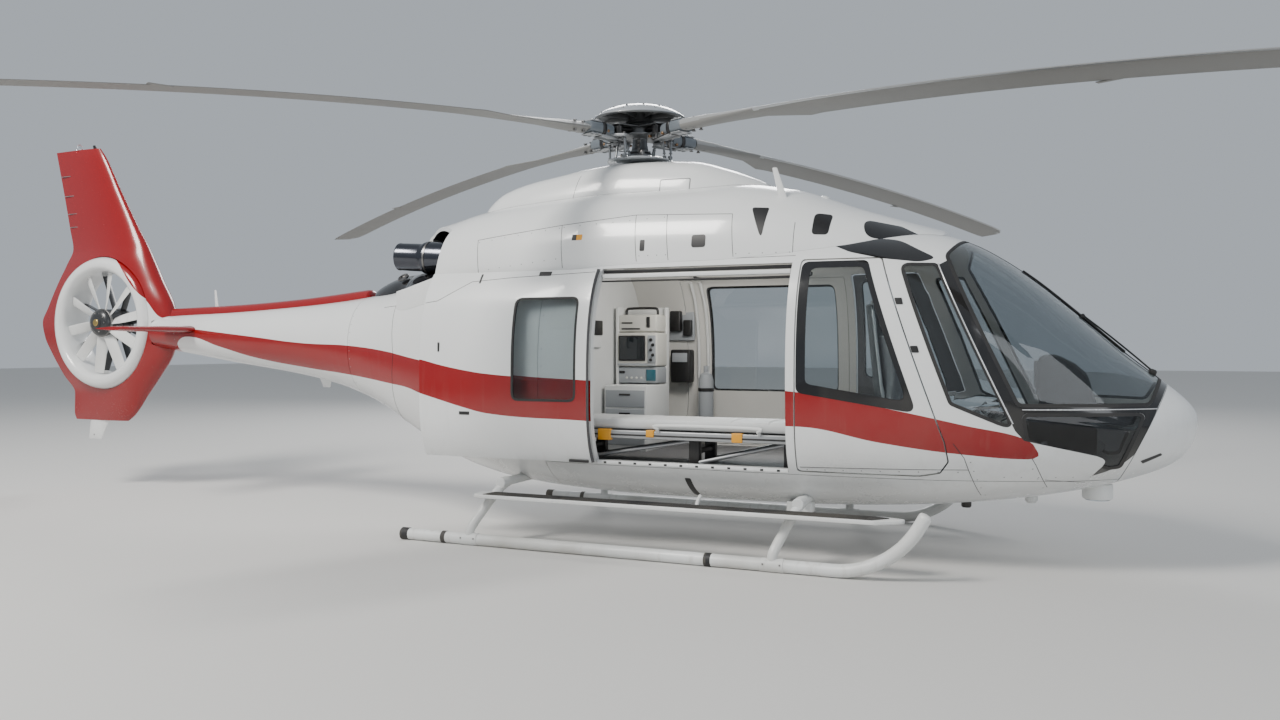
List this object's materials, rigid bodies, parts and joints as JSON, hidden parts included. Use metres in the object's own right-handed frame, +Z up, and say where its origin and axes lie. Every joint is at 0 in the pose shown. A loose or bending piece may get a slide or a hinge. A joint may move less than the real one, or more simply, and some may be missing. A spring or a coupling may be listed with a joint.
{
  "type": "rescue helicopter",
  "caption": "Light single-engine rescue helicopter on skids with a shrouded tail fan, hinged front doors, an open sliding side door and a patient deck in the cabin.",
  "frame": {"origin": "on the ground, under the middle of the bounding box", "axes": "+X forward to the nose, +Y to the left (port) side, +Z up"},
  "size_m": [11.901, 9.802, 3.53],
  "materials": {
    "white_paint": "gloss white paint",
    "red_paint": "gloss red paint",
    "window_glass": "lightly tinted clear",
    "engine_alloy": "cast, satin",
    "exhaust_steel": "heat darkened",
    "black_panel": "satin black",
    "black_rail": "satin black",
    "grey_alloy": "satin",
    "fan_paint": "satin light grey",
    "equipment_grey": "satin light grey",
    "mattress_cover": "matt wipe-clean cover",
    "rotor_metal": "dark satin",
    "hub_paint": "satin grey",
    "step_paint": "white with a dark tread",
    "seat_frame": "satin dark grey",
    "seat_cloth": "matt woven grey",
    "blade_paint": "satin grey"
  },
  "bodies": {
    "airframe": {"aft_fuselage": "white_paint", "cabin_shell": "white_paint", "chin_window_left": "window_glass", "chin_window_right": "window_glass", "cross_tube_front": "white_paint", "cross_tube_rear": "white_paint", "duct_ring": "white_paint", "engine_block": "engine_alloy", "engine_cowling": "white_paint", "exhaust_pipe": "exhaust_steel", "fin_shroud": "red_paint", "front_seat_back_pad_left": "seat_cloth", "front_seat_back_pad_right": "seat_cloth", "front_seat_cushion_left": "seat_cloth", "front_seat_cushion_right": "seat_cloth", "front_seat_left": "seat_frame", "front_seat_right": "seat_frame", "gearbox_block": "engine_alloy", "heat_shield": "black_panel", "horizontal_stabilizer": "red_paint", "instrument_panel": "black_panel", "lower_hull": "white_paint", "mast_fairing": "white_paint", "medical_rack": "equipment_grey", "nose_cap": "white_paint", "patient_deck": "black_rail", "patient_mattress": "mattress_cover", "quarter_window_left": "window_glass", "quarter_window_right": "window_glass", "skid_left": "white_paint", "skid_right": "white_paint", "sliding_door_glass_left": "window_glass", "sliding_door_glass_right": "window_glass", "sliding_door_left": "white_paint", "sliding_door_right": "white_paint", "spine_fairing": "red_paint", "stator": "grey_alloy", "step_left": "step_paint", "step_right": "step_paint", "tail_boom": "white_paint", "tail_bumper": "white_paint", "windscreen_left": "window_glass", "windscreen_right": "window_glass"},
    "main_rotor": {"rotor_head": "rotor_metal", "hub_cap": "hub_paint", "main_blade_1": "blade_paint", "main_blade_2": "blade_paint", "main_blade_3": "blade_paint", "main_blade_4": "blade_paint"},
    "tail_rotor": {"tail_fan": "fan_paint"},
    "front_door_right": {"front_door_right": "white_paint", "front_door_glass_right": "window_glass"},
    "front_door_left": {"front_door_left": "white_paint", "front_door_glass_left": "window_glass"}
  },
  "joints": [
    {"name": "main_rotor_spin", "type": "hinge", "parent": "airframe", "child": "main_rotor", "pos_m": [1.0495, 0, 3.17], "axis": [0, 0, 1], "continuous": true},
    {"name": "tail_fan_spin", "type": "hinge", "parent": "airframe", "child": "tail_rotor", "pos_m": [-4.9355, 0, 1.708], "axis": [0, 1, 0], "continuous": true},
    {"name": "front_door_right_hinge", "type": "hinge", "parent": "airframe", "child": "front_door_right", "pos_m": [3.3745, -1.012, 1.45], "axis": [-0.332, 0.1207, 0.9355], "range_deg": [0, 75]},
    {"name": "front_door_left_hinge", "type": "hinge", "parent": "airframe", "child": "front_door_left", "pos_m": [3.3745, 1.012, 1.45], "axis": [0.332, 0.1207, -0.9355], "range_deg": [0, 75]}
  ]
}
